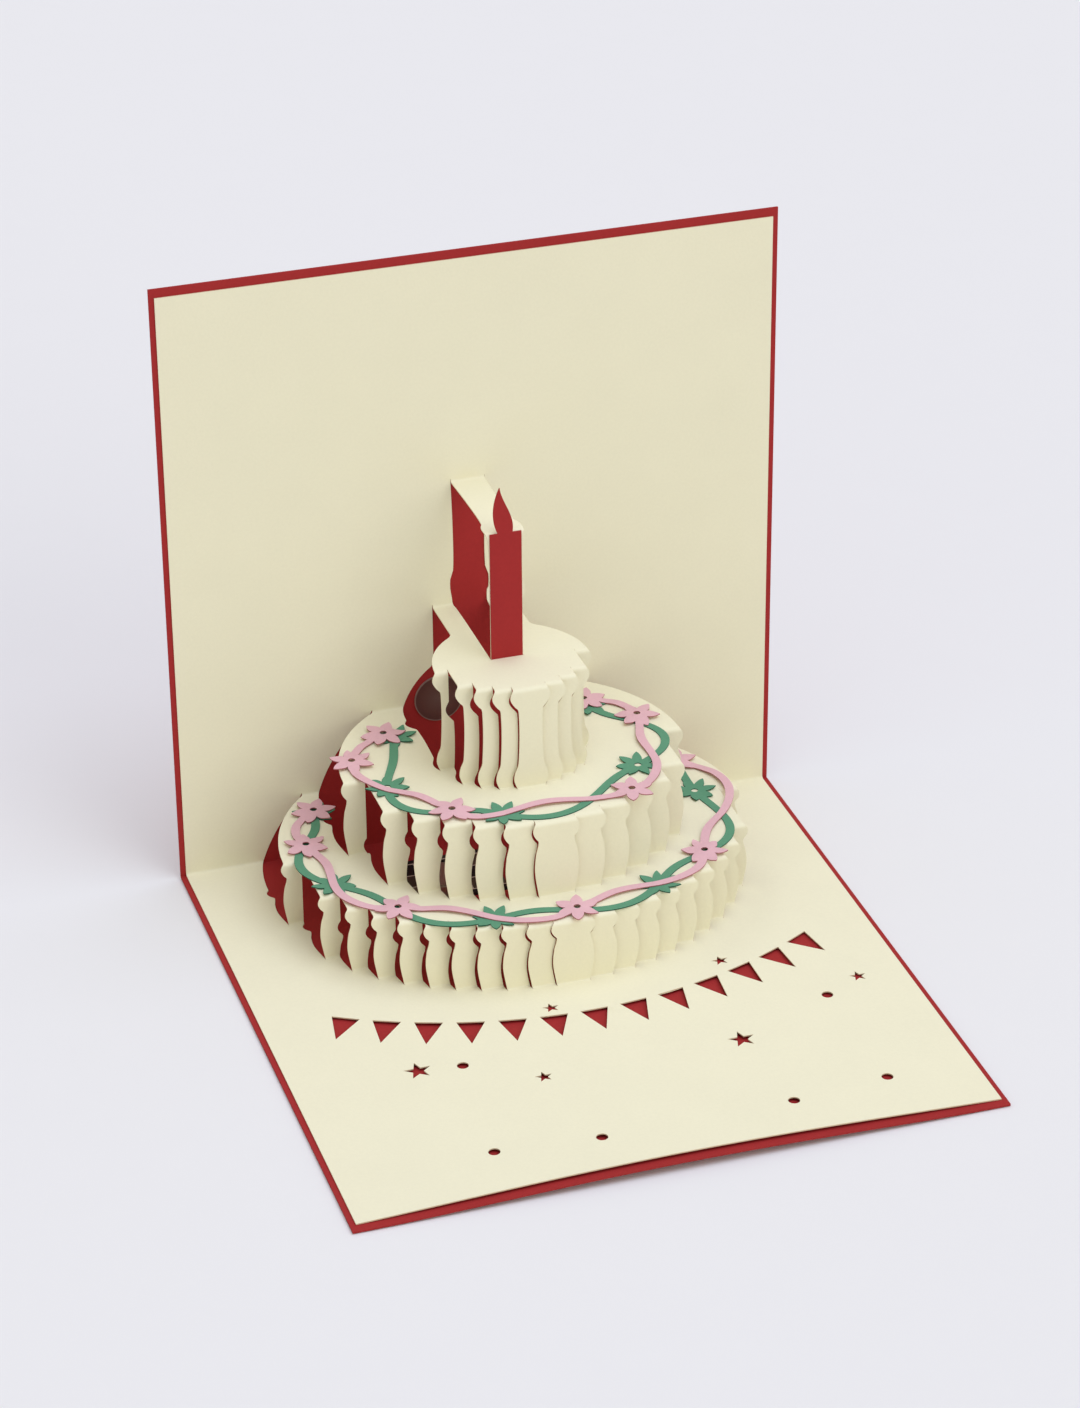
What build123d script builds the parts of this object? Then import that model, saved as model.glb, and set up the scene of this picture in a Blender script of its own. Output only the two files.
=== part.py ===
from build123d import *

import os
from dataclasses import dataclass
from math import cos, pi, radians, sin, sqrt

os.makedirs("parts", exist_ok=True)

# Card, opened at a right angle: the fold runs along X at the back, the front edge faces -Y
card_width = 150.0
cover_depth = 153.0
cover_height = 153.0
cover_thickness = 0.5
sheet_thickness = 0.3
side_margin = 1.3
end_margin = 2.1

# Rise of each tier above the one below, and of the candle strip above the top tier
lower_rise = 16.6
middle_rise = 19.5
top_rise = 25.8
candle_rise = 32.2

# Plan of each tier: depths are measured forward from the upright half of the sheet, and the
# cake stands a little left of the middle of the card
cake_centre = -0.5

lower_half_width = 56.2
lower_shoulder = 29.7
lower_front = 75.0
lower_back_half = 43.9
lower_middle_half = 4.5
lower_slits = 11

middle_half_width = 41.3
middle_shoulder = 30.6
middle_front = 63.0
middle_back_half = 25.8
middle_middle_half = 4.8
middle_slits = 7

top_half_width = 18.3
top_shoulder = 31.8
top_front = 46.0
top_back_half = 9.7
top_neck = 15.3
top_middle_half = 3.8
top_slits = 5
top_centre = -1.0

# Candle strip with a small tab on each side, and the red candle glued to it: the sides of the
# flame are points across the candle, each with its share of the flame's height
candle_width = 7.6
candle_depth = 29.3
candle_centre = -1.5
candle_thickness = 0.3
candle_tab_drop = 15.2
candle_tab_height = 4.8
candle_tab_reach = 0.75
flame_height = 11.6
flame_tip_side = -1.3
flame_left = ((-1.9, 0.0), (-2.9, 0.49), (-2.0, 0.86))
flame_right = ((1.65, 0.0), (1.75, 0.18), (0.7, 0.5), (-0.75, 0.8))

# Slits: width of the cut, and the turn over which the slits of half a tier are spaced
kerf = 0.1
slit_spread = radians(45.0)

# Waves of the cuts: share of the way down, and how far the cut swings outwards
cake_wave = (
    (0.0, 0.0),
    (0.05, 0.6),
    (0.12, 0.75),
    (0.19, 0.2),
    (0.24, -0.5),
    (0.42, 0.2),
    (0.65, 0.45),
    (1.0, -0.5),
)
top_wave = (
    (0.0, 0.2),
    (0.05, 0.9),
    (0.1, 0.95),
    (0.16, 0.1),
    (0.21, -0.9),
    (0.75, -0.75),
    (0.84, 0.1),
    (0.92, 0.3),
    (1.0, -0.4),
)
candle_wave = (
    (0.0, 0.3),
    (0.2, 0.0),
    (0.38, 0.1),
    (0.41, 0.8),
    (0.46, 0.85),
    (0.49, 0.55),
    (0.58, 0.1),
    (1.0, 0.05),
)

# Garlands: flat paper ribbons that cross each other along the rim of a tier. Places on the rim
# are in degrees, and the swing is a share of the way from one crossing to the next
ribbon_width = 2.1
ribbon_thickness = 0.25
ribbon_swing = 0.11
ribbon_steps = 4
lower_side_inset = 6.0
lower_front_inset = 4.0
lower_crossing_angles = (-120, -99, -72, -47, -19.5, 2.5, 28, 50, 75, 113)
lower_flower_angles = (-120, -98, -47, 2.5, 50, 113)
lower_spray_angles = (-119, -72, -19.5, 28, 92.5)
middle_side_inset = 7.6
middle_front_inset = 5.6
middle_crossing_angles = (-137, -76, -39.5, -18.5, 18, 66, 102, 138)
middle_flower_angles = (-131, -105, -39.5, 34, 107.5, 136)
middle_spray_angles = (-132.5, -79, -18.5, 56, 133)
flower_radius = 5.5
flower_petals = 6
petal_width = 2.8
spray_radius = 5.3
spray_leaves = 7
leaf_width = 2.3
leaf_belly = 0.55
motif_heart = 2.0
motif_hole_radius = 0.85
motif_turn = 25.0

# Cut-outs in the lying half of the sheet. Stars and dots: share of the sheet's half width, and
# depth from the fold
pennant_count = 13
pennant_width = 6.6
pennant_height = 9.0
pennant_row_radius = 109.0
pennant_row_half_turn = 30.0
pennant_row_depth = 92.5
star_waist = 0.4
star_radius_small = 2.1
star_radius_large = 3.3
small_stars = ((-0.122, 84.1), (0.465, 77.6), (0.843, 93.8), (-0.263, 111.1))
large_stars = ((0.372, 110.8), (-0.612, 99.5))
dot_radius = 1.35
dots = ((-0.476, 100.8), (0.712, 99.2), (0.716, 135.0), (0.4, 138.1), (-0.204, 138.4), (-0.524, 135.6))

# Sound unit on the inside of the cover
disc_radius = 6.0
disc_thickness = 0.4
disc_side = -8.7
disc_above_tier = 1.1
board_width = 23.0
board_length = 19.0
board_thickness = 0.8
board_side = -13.5
board_depth = 21.0
cell_radius = 5.8
cell_height = 2.6
cell_rim = 0.7
cell_lip = 0.3
cell_side = -16.5
cell_depth = 24.0

# Where the sheet folds, and the heights of the creases above its lying half
fold_y = cover_depth / 2 - cover_thickness - sheet_thickness
floor = cover_thickness + sheet_thickness
lower_head = lower_rise
middle_head = lower_head + middle_rise
top_head = middle_head + top_rise
candle_head = top_head + candle_rise
sheet_width = card_width - 2 * side_margin
sheet_depth = fold_y + cover_depth / 2 - end_margin
sheet_height = cover_height - floor - end_margin


@dataclass
class Tier:
    """One tier of the cake, with its heights on the flat sheet and its plan."""

    foot: float
    head: float
    centre: float
    half_width: float
    shoulder: float
    front: float
    back_half: float
    neck: float
    middle_half: float
    slits: int
    wave: tuple

    def reach(self, slit):
        """How far a slit lies from the middle of the tier, counted from the outermost one."""
        turn = slit_spread * (self.slits - 1 - slit) / (self.slits - 1)
        share = sin(turn) / sin(slit_spread)
        return self.middle_half + (self.half_width - self.middle_half) * share

    def depth(self, slit):
        """Depth of the strip that starts at a slit: the tier's front is half an ellipse."""
        swell = sqrt(max(0.0, 1 - (self.reach(slit) / self.half_width) ** 2))
        return self.shoulder + (self.front - self.shoulder) * swell

    def cut(self, slit, side, gap):
        """Points of a slit's wave on the flat sheet, from the upper crease to the lower one."""
        upper = self.head - self.depth(slit)
        height = self.head - self.foot
        return [
            (self.centre + side * (self.reach(slit) + out + gap), upper - share * height)
            for share, out in self.wave
        ]


lower = Tier(
    0.0, lower_head, cake_centre, lower_half_width, lower_shoulder, lower_front,
    lower_back_half, 0.0, lower_middle_half, lower_slits, cake_wave,
)
middle = Tier(
    lower_head, middle_head, cake_centre, middle_half_width, middle_shoulder, middle_front,
    middle_back_half, 0.0, middle_middle_half, middle_slits, cake_wave,
)
top = Tier(
    middle_head, top_head, top_centre, top_half_width, top_shoulder, top_front,
    top_back_half, top_neck, top_middle_half, top_slits, top_wave,
)
tiers = (lower, middle, top)


def level(height):
    """Plane of the lying half of the sheet, or of a plate folded level at a height."""
    return Plane(origin=(0, fold_y - height, floor + height), x_dir=(1, 0, 0), z_dir=(0, 0, 1))


def upright(depth):
    """Plane of the upright half of the sheet, or of a strip folded upright at a depth."""
    return Plane(origin=(0, fold_y - depth, floor + depth), x_dir=(1, 0, 0), z_dir=(0, -1, 0))


def crown(tier, gap, drop):
    """Flat outline of a tier's top plate behind its outermost slits."""
    shoulder = tier.head - tier.depth(0)
    half = tier.reach(0) + tier.wave[0][1] + gap
    back_half = tier.back_half + gap
    with BuildSketch() as flat:
        with BuildLine():
            for side in (-1, 1):
                widest = (tier.centre + side * half, shoulder)
                neck_end = (tier.centre + side * back_half, tier.head - tier.neck)
                corner = (tier.centre + side * back_half, tier.head + drop)
                TangentArc(widest, neck_end, tangent=(0, 1))
                if tier.neck + drop > 0:
                    Line(neck_end, corner)
            Line((tier.centre - back_half, tier.head + drop), (tier.centre + back_half, tier.head + drop))
            Line((tier.centre - half, shoulder), (tier.centre + half, shoulder))
        make_face()
    return flat.sketch


def opening(tier):
    """Flat outline of all that a tier was cut and folded from."""
    with BuildSketch() as flat:
        add(crown(tier, kerf, 0.0))
        for slit in range(tier.slits):
            left = tier.cut(slit, -1, kerf)
            right = tier.cut(slit, 1, kerf)
            with BuildLine():
                Polyline(*left)
                Polyline(*right)
                Line(left[-1], right[-1])
                if slit == 0:
                    Line(left[0], right[0])
                else:
                    start = tier.head - tier.depth(slit - 1)
                    Polyline(left[0], (left[0][0], start), (right[0][0], start), right[0])
            make_face()
    return flat.sketch


def plate(tier):
    """Flat outline of a tier's top plate, stepped along its front."""
    shoulder = tier.head - tier.depth(0)
    with BuildSketch() as flat:
        add(crown(tier, 0.0, sheet_thickness))
        for slit in range(1, tier.slits):
            half = tier.reach(slit) + tier.wave[0][1]
            length = tier.depth(slit) - tier.depth(0) + sheet_thickness
            with Locations((tier.centre, shoulder + sheet_thickness - length / 2)):
                Rectangle(2 * half, length)
    return flat.sketch


def strip(tier, slit, side):
    """Flat outline of the upright strip between a slit and the next one inwards."""
    outer = tier.cut(slit, side, 0.0)
    inner = tier.cut(slit + 1, side, kerf)
    top_edge = tier.head - tier.depth(slit)
    crease = tier.foot - tier.depth(slit)
    with BuildSketch() as flat:
        with BuildLine():
            Polyline(*outer, (outer[-1][0], inner[-1][1]), inner[-1])
            Polyline(outer[0], (inner[0][0], top_edge), *inner)
        make_face()
        with Locations((tier.centre, (top_edge + crease) / 2)):
            Rectangle(card_width, top_edge - crease, mode=Mode.INTERSECT)
        lower_end = flat.edges().sort_by(Axis.Y)[0]
        with Locations(lower_end.center()):
            Rectangle(lower_end.length, sheet_thickness, align=(Align.CENTER, Align.MAX))
    return flat.sketch


def middle_strip(tier):
    """Flat outline of the wide strip at the front of a tier."""
    left = tier.cut(tier.slits - 1, -1, 0.0)
    right = tier.cut(tier.slits - 1, 1, 0.0)
    bottom_edge = left[-1][1] - sheet_thickness
    with BuildSketch() as flat:
        with BuildLine():
            Polyline(*left, (left[-1][0], bottom_edge), (right[-1][0], bottom_edge))
            Polyline(left[0], *right, (right[-1][0], bottom_edge))
        make_face()
    return flat.sketch


def candle_blank(gap, high, low):
    """Flat outline of the candle strip and its bridge between two places on the sheet."""
    run = candle_depth + candle_rise
    first = candle_head + sheet_thickness
    last = candle_head - run - sheet_thickness
    with BuildSketch() as flat:
        with BuildLine():
            for side in (-1, 1):
                points = [
                    (candle_centre + side * (candle_width / 2 + out + gap), candle_head - share * run)
                    for share, out in candle_wave
                ]
                Polyline(*points)
                Line((points[0][0], first), points[0])
                Line(points[-1], (points[-1][0], last))
            start_half = candle_width / 2 + candle_wave[0][1] + gap
            end_half = candle_width / 2 + candle_wave[-1][1] + gap
            Line((candle_centre - start_half, first), (candle_centre + start_half, first))
            Line((candle_centre - end_half, last), (candle_centre + end_half, last))
        make_face()
        with Locations((candle_centre, (high + low) / 2)):
            Rectangle(2 * candle_width, high - low, mode=Mode.INTERSECT)
    return flat.sketch


def candle_tabs():
    """Flat outline of the tabs that stand out at both sides of the candle strip."""
    root = candle_width / 2
    tip = root + candle_tab_reach
    root_half = candle_tab_height / 2
    tip_half = candle_tab_height / 4
    right = [(root, root_half), (tip, tip_half), (tip, -tip_half), (root, -root_half)]
    left = [(-across, -along) for across, along in right]
    with BuildSketch() as flat:
        with Locations((candle_centre, candle_head - candle_depth - candle_tab_drop)):
            Polygon(*right, *left, align=None)
    return flat.sketch


def star(radius):
    """Five-pointed star."""
    points = []
    for corner in range(10):
        turn = pi / 2 + corner * pi / 5
        length = radius if corner % 2 == 0 else radius * star_waist
        points.append((length * cos(turn), length * sin(turn)))
    with BuildSketch() as flat:
        with BuildLine():
            Polyline(*points, close=True)
        make_face()
    return flat.sketch


def pennant():
    """Bunting flag that points towards the front edge of the card."""
    with BuildSketch() as flat:
        with BuildLine():
            half = pennant_width / 2
            Polyline((-half, 0), (half, 0), (0, -pennant_height), close=True)
        make_face()
    return flat.sketch


def motif(count, radius, width):
    """Paper flower or leaf spray: pointed leaves round a heart."""
    belly = radius * leaf_belly
    outline = []
    for leaf in range(count):
        turn = 360 * leaf / count
        outline.append(Vector(belly, -width / 2).rotate(Axis.Z, turn))
        outline.append(Vector(radius, 0).rotate(Axis.Z, turn))
        outline.append(Vector(belly, width / 2).rotate(Axis.Z, turn))
        outline.append(Vector(motif_heart, 0).rotate(Axis.Z, turn + 180 / count))
    with BuildSketch() as flat:
        with BuildLine():
            Polyline(*outline, close=True)
        make_face()
    return flat.sketch


def ring_point(tier, insets, angle, offset):
    """Point on a tier's rim, seen from the middle of its shoulders, 0 degrees at the front."""
    side_inset, front_inset = insets
    across = tier.half_width - side_inset + offset
    forward = tier.front - tier.shoulder - front_inset + offset
    return (across * sin(radians(angle)), -forward * cos(radians(angle)))


def ribbon_offset(tier, crossings, first_side, angle):
    """How far a ribbon swings off the rim: it changes sides at each crossing."""
    side = first_side
    for start, end in zip(crossings, crossings[1:]):
        if start <= angle <= end:
            way = tier.half_width * radians(end - start)
            return side * ribbon_swing * way * sin(pi * (angle - start) / (end - start))
        side = -side
    return 0.0


def garland(tier, insets, crossings, first_side, shape, places):
    """Flat outline of a ribbon that weaves along a tier's rim, with its flowers or sprays."""
    stations = []
    for start, end in zip(crossings, crossings[1:]):
        for step in range(ribbon_steps):
            stations.append(start + (end - start) * step / ribbon_steps)
    stations.append(crossings[-1])
    swings = [ribbon_offset(tier, crossings, first_side, angle) for angle in stations]
    half = ribbon_width / 2
    outer_edge = [ring_point(tier, insets, angle, swing + half) for angle, swing in zip(stations, swings)]
    inner_edge = [ring_point(tier, insets, angle, swing - half) for angle, swing in zip(stations, swings)]
    with BuildSketch() as flat:
        with BuildLine():
            Polyline(*outer_edge, *reversed(inner_edge), close=True)
        make_face()
        for number, angle in enumerate(places):
            spot = ring_point(tier, insets, angle, ribbon_offset(tier, crossings, first_side, angle))
            with Locations(Location((spot[0], spot[1], 0), (0, 0, number * motif_turn))):
                add(shape)
                RegularPolygon(motif_hole_radius, 6, mode=Mode.SUBTRACT)
    return flat.sketch


def garland_plane(tier, lift):
    """Plane on top of a tier, with its origin between the tier's shoulders."""
    return Plane(origin=(tier.centre, fold_y - tier.shoulder, floor + tier.head + lift))


# Cover: one red sheet with a rounded fold along its lower back edge
with BuildPart() as cover:
    with BuildSketch(Plane.YZ):
        with Locations((-cover_depth / 2, 0)):
            Rectangle(cover_depth, cover_thickness, align=(Align.MIN, Align.MIN))
        with Locations((cover_depth / 2, 0)):
            Rectangle(cover_thickness, cover_height, align=(Align.MAX, Align.MIN))
    extrude(amount=card_width / 2, both=True)
    fillet(cover.edges().filter_by(Axis.X).group_by(Axis.Z)[0].sort_by(Axis.Y)[-1], radius=cover_thickness)
cover.part.label = "cover"
export_step(cover.part, "parts/cover.step")

# Pop-up sheet: every facet is drawn on the flat sheet and laid on the plane that it folds to
with BuildPart() as popup_sheet:
    with BuildSketch(level(0.0)):
        with Locations((0, sheet_thickness)):
            Rectangle(sheet_width, sheet_depth + sheet_thickness, align=(Align.CENTER, Align.MAX))
        add(opening(lower), mode=Mode.SUBTRACT)
        for share, spot_depth in small_stars:
            with Locations((share * sheet_width / 2, -spot_depth)):
                add(star(star_radius_small), mode=Mode.SUBTRACT)
        for share, spot_depth in large_stars:
            with Locations((share * sheet_width / 2, -spot_depth)):
                add(star(star_radius_large), mode=Mode.SUBTRACT)
        with Locations(*[(share * sheet_width / 2, -spot_depth) for share, spot_depth in dots]):
            Circle(dot_radius, mode=Mode.SUBTRACT)
        for number in range(pennant_count):
            turn = pennant_row_half_turn * (2 * number / (pennant_count - 1) - 1)
            spot_x = pennant_row_radius * sin(radians(turn))
            spot_y = pennant_row_radius * (1 - cos(radians(turn))) - pennant_row_depth + pennant_height / 2
            with Locations(Location((spot_x, spot_y, 0), (0, 0, turn))):
                add(pennant(), mode=Mode.SUBTRACT)
    with BuildSketch(upright(0.0)):
        with Locations((0, -sheet_thickness)):
            Rectangle(sheet_width, sheet_height + sheet_thickness, align=(Align.CENTER, Align.MIN))
        for tier in tiers:
            add(opening(tier), mode=Mode.SUBTRACT)
        add(candle_blank(kerf, candle_head, top_head - candle_depth), mode=Mode.SUBTRACT)
    with BuildSketch(level(lower_head)):
        add(plate(lower))
        add(opening(middle), mode=Mode.SUBTRACT)
    with BuildSketch(level(middle_head)):
        add(plate(middle))
        add(opening(top), mode=Mode.SUBTRACT)
    with BuildSketch(level(top_head)):
        add(plate(top))
        add(candle_blank(kerf, candle_head, top_head - candle_depth), mode=Mode.SUBTRACT)
    with BuildSketch(level(candle_head)):
        add(candle_blank(0.0, candle_head + sheet_thickness, candle_head - candle_depth))
    with BuildSketch(upright(candle_depth)):
        add(candle_blank(0.0, candle_head - candle_depth, top_head - candle_depth - sheet_thickness))
        add(candle_tabs())
    for tier in tiers:
        for slit in range(tier.slits - 1):
            for side in (-1, 1):
                with BuildSketch(upright(tier.depth(slit))):
                    add(strip(tier, slit, side))
        with BuildSketch(upright(tier.depth(tier.slits - 1))):
            add(middle_strip(tier))
    extrude(amount=-sheet_thickness)
popup_sheet.part.label = "popup_sheet"
export_step(popup_sheet.part, "parts/popup_sheet.step")

# Garlands: the green one lies on its tier, the pink one on the green
flower = motif(flower_petals, flower_radius, petal_width)
spray = motif(spray_leaves, spray_radius, leaf_width)
lower_insets = (lower_side_inset, lower_front_inset)
middle_insets = (middle_side_inset, middle_front_inset)

with BuildPart() as lower_green_garland:
    with BuildSketch(garland_plane(lower, 0.0)):
        add(garland(lower, lower_insets, lower_crossing_angles, -1, spray, lower_spray_angles))
    extrude(amount=ribbon_thickness)
lower_green_garland.part.label = "lower_green_garland"
export_step(lower_green_garland.part, "parts/lower_green_garland.step")

with BuildPart() as lower_pink_garland:
    with BuildSketch(garland_plane(lower, ribbon_thickness)):
        add(garland(lower, lower_insets, lower_crossing_angles, 1, flower, lower_flower_angles))
    extrude(amount=ribbon_thickness)
lower_pink_garland.part.label = "lower_pink_garland"
export_step(lower_pink_garland.part, "parts/lower_pink_garland.step")

with BuildPart() as middle_green_garland:
    with BuildSketch(garland_plane(middle, 0.0)):
        add(garland(middle, middle_insets, middle_crossing_angles, -1, spray, middle_spray_angles))
    extrude(amount=ribbon_thickness)
middle_green_garland.part.label = "middle_green_garland"
export_step(middle_green_garland.part, "parts/middle_green_garland.step")

with BuildPart() as middle_pink_garland:
    with BuildSketch(garland_plane(middle, ribbon_thickness)):
        add(garland(middle, middle_insets, middle_crossing_angles, 1, flower, middle_flower_angles))
    extrude(amount=ribbon_thickness)
middle_pink_garland.part.label = "middle_pink_garland"
export_step(middle_pink_garland.part, "parts/middle_pink_garland.step")

# Candle: red card on the front of its strip, with the flame standing free above the crease
with BuildPart() as candle:
    candle_foot = (candle_centre, fold_y - candle_depth, floor + top_head)
    with BuildSketch(Plane(origin=candle_foot, x_dir=(1, 0, 0), z_dir=(0, -1, 0))):
        Rectangle(candle_width, candle_rise, align=(Align.CENTER, Align.MIN))
        with BuildLine():
            tip = (flame_tip_side, candle_rise + flame_height)
            left = [(across, candle_rise + share * flame_height) for across, share in flame_left]
            right = [(across, candle_rise + share * flame_height) for across, share in flame_right]
            Spline(*left, tip)
            Spline(*right, tip)
            Line(left[0], right[0])
        make_face()
    extrude(amount=candle_thickness)
candle.part.label = "candle"
export_step(candle.part, "parts/candle.step")

# Sounder disc: on the upright half of the cover, seen through the top tier
with BuildPart() as sounder_disc:
    disc_spot = (top_centre + disc_side, fold_y + sheet_thickness, floor + middle_head + disc_above_tier)
    with BuildSketch(Plane(origin=disc_spot, z_dir=(0, -1, 0))):
        Circle(disc_radius)
    extrude(amount=disc_thickness)
sounder_disc.part.label = "sounder_disc"
export_step(sounder_disc.part, "parts/sounder_disc.step")

# Sound board: on the lying half of the cover, under the tiers
with BuildPart() as sound_board:
    with BuildSketch(Plane(origin=(board_side, fold_y - board_depth, cover_thickness))):
        Rectangle(board_width, board_length)
    extrude(amount=board_thickness)
sound_board.part.label = "sound_board"
export_step(sound_board.part, "parts/sound_board.step")

# Button cell: a can with a narrower cap, lying on the board
with BuildPart() as button_cell:
    cell_spot = (cell_side, fold_y - cell_depth, cover_thickness + board_thickness)
    with BuildSketch(Plane(origin=cell_spot)):
        Circle(cell_radius)
    extrude(amount=cell_height - cell_lip)
    with BuildSketch(Plane(origin=cell_spot).offset(cell_height - cell_lip)):
        Circle(cell_radius - cell_rim)
    extrude(amount=cell_lip)
button_cell.part.label = "button_cell"
export_step(button_cell.part, "parts/button_cell.step")
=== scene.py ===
import math

import bmesh
import bpy
import numpy as np
from mathutils import Matrix, Vector
from mathutils.geometry import delaunay_2d_cdt


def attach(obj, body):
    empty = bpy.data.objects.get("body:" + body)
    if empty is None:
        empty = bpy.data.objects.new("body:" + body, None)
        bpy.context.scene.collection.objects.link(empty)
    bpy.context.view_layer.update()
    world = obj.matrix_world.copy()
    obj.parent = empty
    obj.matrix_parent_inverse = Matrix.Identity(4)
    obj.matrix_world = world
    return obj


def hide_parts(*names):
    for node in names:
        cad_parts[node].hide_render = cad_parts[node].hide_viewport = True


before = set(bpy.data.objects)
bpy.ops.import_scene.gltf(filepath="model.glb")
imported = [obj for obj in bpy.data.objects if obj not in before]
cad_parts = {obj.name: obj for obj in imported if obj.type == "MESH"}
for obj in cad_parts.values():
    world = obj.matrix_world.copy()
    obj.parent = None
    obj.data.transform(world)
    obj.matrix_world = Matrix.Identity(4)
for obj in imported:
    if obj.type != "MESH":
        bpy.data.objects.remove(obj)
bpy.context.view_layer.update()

# Lengths are in millimetres and turned to metres where a mesh is made
MM = 0.001

# Card and sheet, as in the CAD part. The cover is drawn a hair short at the front, because its
# arch tilts the foot of the front edge outwards
FOLD_Y = 75.7
FLOOR = 0.8
SHEET_HALF = 73.7
SHEET_DEPTH = 150.1
SHEET_HEIGHT = 150.1
SHEET_THICKNESS = 0.3
COVER_HALF = 75.0
COVER_FRONT = 76.47
COVER_BACK = 76.0
COVER_TOP = 153.0
COVER_THICKNESS = 0.5
KERF = 0.1
SLIT_SPREAD = math.radians(45.0)

# Paper: radius of the folds, and how far an upright strip bows out. The bow changes from strip to strip
HEAD_RADIUS = 1.0
FOOT_RADIUS = 0.4
BACK_RADIUS = 0.7
COVER_FOLD_RADIUS = 0.1
STRIP_BOW = 0.22
BOW_CHANGE = 0.4
BOW_SLIT_TURN = 7.0
BOW_SIDE_TURN = 2.0

# The front edge of the card arches up a little in the middle, and the sheet stands off the cover
# before and beside the cake
ARCH_START = 82.0
COVER_ARCH = 1.6
STAND_HALF = 58.0
STAND_GAP = 2.0
STAND_RUN = 14.0
SHEET_STAND = 0.7

# Fineness of the meshes: numbers of steps, spacings in millimetres, and the ribbons' step in degrees
FOLD_STEPS = 5
RUN_STEPS = 36
STRIP_COLUMNS = 5
WIDE_COLUMNS = 10
BRIDGE_STEPS = 40
COVER_COLUMNS = 40
COVER_UPRIGHT_ROWS = 30
COVER_LYING_ROWS = 60
GRID = 2.6
GRID_MARGIN = 0.6
EDGE_STEP = 1.2
CUT_STEP = 0.4
LEAST_CUT_STEPS = 3
DOT_STEPS = 24
LEAF_STEPS = 12
HEART_STEPS = 20
HOLE_STEPS = 16
RIBBON_STEP = 1.5

# Points closer than these are one: on a loop and in its filling in millimetres, in a mesh in metres
SAME_POINT = 1e-6
FILL_TOLERANCE = 1e-5
MERGE_DISTANCE = 2e-6

# Edges that turn by more than this are shaded sharp
SHARP_ANGLE = math.radians(35.0)

# Waves of the cuts: share of the way down the cut, and how far it swings outwards
CAKE_WAVE = (
    (0.0, 0.0),
    (0.05, 0.6),
    (0.12, 0.75),
    (0.19, 0.2),
    (0.24, -0.5),
    (0.42, 0.2),
    (0.65, 0.45),
    (1.0, -0.5),
)
TOP_WAVE = (
    (0.0, 0.2),
    (0.05, 0.9),
    (0.1, 0.95),
    (0.16, 0.1),
    (0.21, -0.9),
    (0.75, -0.75),
    (0.84, 0.1),
    (0.92, 0.3),
    (1.0, -0.4),
)
CANDLE_WAVE = (
    (0.0, 0.3),
    (0.2, 0.0),
    (0.38, 0.1),
    (0.41, 0.8),
    (0.46, 0.85),
    (0.49, 0.55),
    (0.58, 0.1),
    (1.0, 0.05),
)

# Candle strip, with a rounded tab on each side
CANDLE_HEAD = 94.1
CANDLE_RISE = 32.2
CANDLE_DEPTH = 29.3
CANDLE_HALF = 3.8
CANDLE_CENTRE = -1.5
TAB_HEIGHT = 78.9
TAB_HALF = 2.4
TAB_REACH = 0.75

# Garlands: places along the rim are in degrees, 0 at the front, and insets from it are across and
# forward. A ribbon swings by a share of the way between two crossings
RIBBON_HALF = 1.05
RIBBON_THICKNESS = 0.25
RIBBON_SWING = 0.11
LOWER_INSETS = (6.0, 4.0)
LOWER_CROSSINGS = (-120, -99, -72, -47, -19.5, 2.5, 28, 50, 75, 113)
LOWER_FLOWERS = (-120, -98, -47, 2.5, 50, 113)
LOWER_SPRAYS = (-119, -72, -19.5, 28, 92.5)
MIDDLE_INSETS = (7.6, 5.6)
MIDDLE_CROSSINGS = (-137, -76, -39.5, -18.5, 18, 66, 102, 138)
MIDDLE_FLOWERS = (-131, -105, -39.5, 34, 107.5, 136)
MIDDLE_SPRAYS = (-132.5, -79, -18.5, 56, 133)

# Flowers and sprays: number, length and width of the leaves. A leaf starts at a share of its length
# from the middle, is widest a little before half way and has full sides
FLOWER = (6, 5.5, 2.8)
SPRAY = (7, 5.3, 2.3)
LEAF_START = 0.12
LEAF_SKEW = 0.85
LEAF_FULLNESS = 0.8
MOTIF_HEART = 2.0
MOTIF_TURN = 25.0
HOLE_RADIUS = 0.85
PETAL_LIFT = 0.5
PETAL_RUN = 1.6
PETAL_CURL = 1.5
PINK_LIFT = 0.12
PINK_DOME = 0.7

# Cut-outs in the lying half. Stars and dots: share of the sheet's half width, and depth from the fold
PENNANTS = 13
PENNANT_WIDTH = 6.6
PENNANT_HEIGHT = 9.0
PENNANT_RADIUS = 109.0
PENNANT_HALF_TURN = math.radians(30.0)
PENNANT_DEPTH = 92.5
STAR_POINTS = 5
STAR_WAIST = 0.4
SMALL_STAR = 2.1
LARGE_STAR = 3.3
SMALL_STARS = ((-0.122, 84.1), (0.465, 77.6), (0.843, 93.8), (-0.263, 111.1))
LARGE_STARS = ((0.372, 110.8), (-0.612, 99.5))
DOT = 1.35
DOTS = ((-0.476, 100.8), (0.712, 99.2), (0.716, 135.0), (0.4, 138.1), (-0.204, 138.4), (-0.524, 135.6))

# Paper surface: noise scales are for coordinates in metres
CLOUD_SCALE = 60.0
CLOUD_DETAIL = 4.0
FIBRE_SCALE = 1400.0
FIBRE_DETAIL = 3.0
FIBRE_SHARE = 0.55
TINT_LOW = 0.3
TINT_HIGH = 0.7
SPECULAR = 0.25
BUMP_DISTANCE = 0.0001

CREAM = (0.87, 0.84, 0.64)
CUT_EDGE = (0.72, 0.6, 0.42)
RED = (0.37, 0.023, 0.024)
PINK = (0.77, 0.475, 0.535)
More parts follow.
